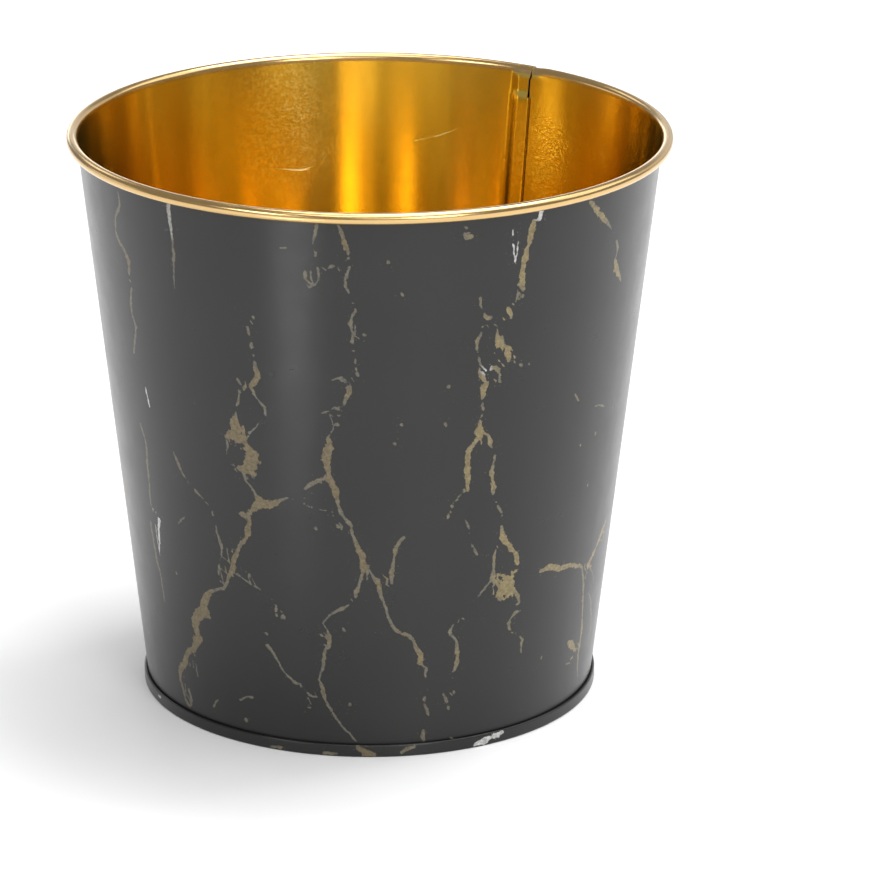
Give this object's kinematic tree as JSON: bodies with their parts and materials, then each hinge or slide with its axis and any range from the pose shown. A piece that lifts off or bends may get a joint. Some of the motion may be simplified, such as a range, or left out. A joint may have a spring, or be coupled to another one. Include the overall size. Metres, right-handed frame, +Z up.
{
  "type": "florist bucket",
  "caption": "Tapered open-topped tinplate bucket with a rolled rim, a lock seam up the side, a double-seamed foot and a black marble print with a gold inside.",
  "frame": {"origin": "middle of the ring that the bucket stands on, at floor level", "axes": "+Z up the bucket's axis towards its mouth, -Y towards the side shown in front, +X to that side's right; the lock seam is at the back right"},
  "size_m": [0.165, 0.165, 0.1584],
  "materials": {
    "printed_body": "satin black print with tan-gold marble veins outside, glossy gold lacquer inside and on the rolled rim",
    "printed_base": "satin black print with a few gold and white marble marks on the foot, gold lacquer inside",
    "sealant": "matt"
  },
  "bodies": {
    "root": {"body_sheet": "printed_body", "base_pan": "printed_base", "foot_sealant": "sealant", "seam_sealant": "sealant"}
  },
  "joints": []
}
